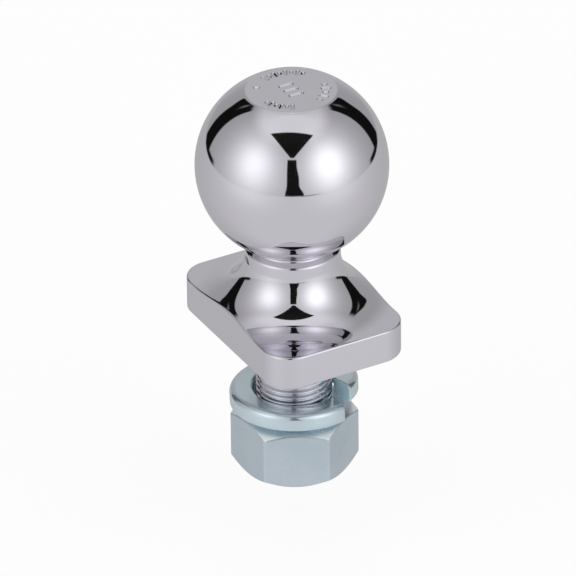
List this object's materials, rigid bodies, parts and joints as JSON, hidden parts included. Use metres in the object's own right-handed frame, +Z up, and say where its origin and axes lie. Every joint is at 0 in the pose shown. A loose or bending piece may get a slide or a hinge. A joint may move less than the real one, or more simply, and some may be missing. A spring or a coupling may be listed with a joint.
{
  "type": "trailer hitch ball",
  "caption": "Chromed trailer hitch ball on a flared neck and rectangular anti-turn base, with a threaded shank, split lock washer and hex nut.",
  "frame": {"origin": "centre of the hex nut's bottom face, on the shank's axis", "axes": "+Z up along the shank to the ball's flat top; +X along the long side of the rectangular base; +Y along its short side"},
  "size_m": [0.0522, 0.0476, 0.1066],
  "materials": {
    "chrome_plate": "bright nickel-chrome plate, mirror smooth",
    "zinc_nut": "clear bluish zinc plate, satin",
    "zinc_washer": "clear bluish zinc plate, satin, with sheared ends"
  },
  "bodies": {
    "hitch_ball": {"hitch_ball": "chrome_plate"},
    "lock_washer": {"lock_washer": "zinc_washer"},
    "hex_nut": {"hex_nut": "zinc_nut"}
  },
  "joints": [
    {"name": "nut_travel", "type": "slide", "parent": "hitch_ball", "child": "lock_washer", "axis": [0, 0, 1], "range_m": [-0.0143, 0.012]},
    {"name": "nut_turn", "type": "hinge", "parent": "lock_washer", "child": "hex_nut", "pos_m": [0, 0, 0.0083], "axis": [0, 0, 1], "range_deg": [-3250, 2730]}
  ],
  "couplings": [
    {"joint": "nut_turn", "follows": "nut_travel", "rad_per_m": 3957.9}
  ]
}
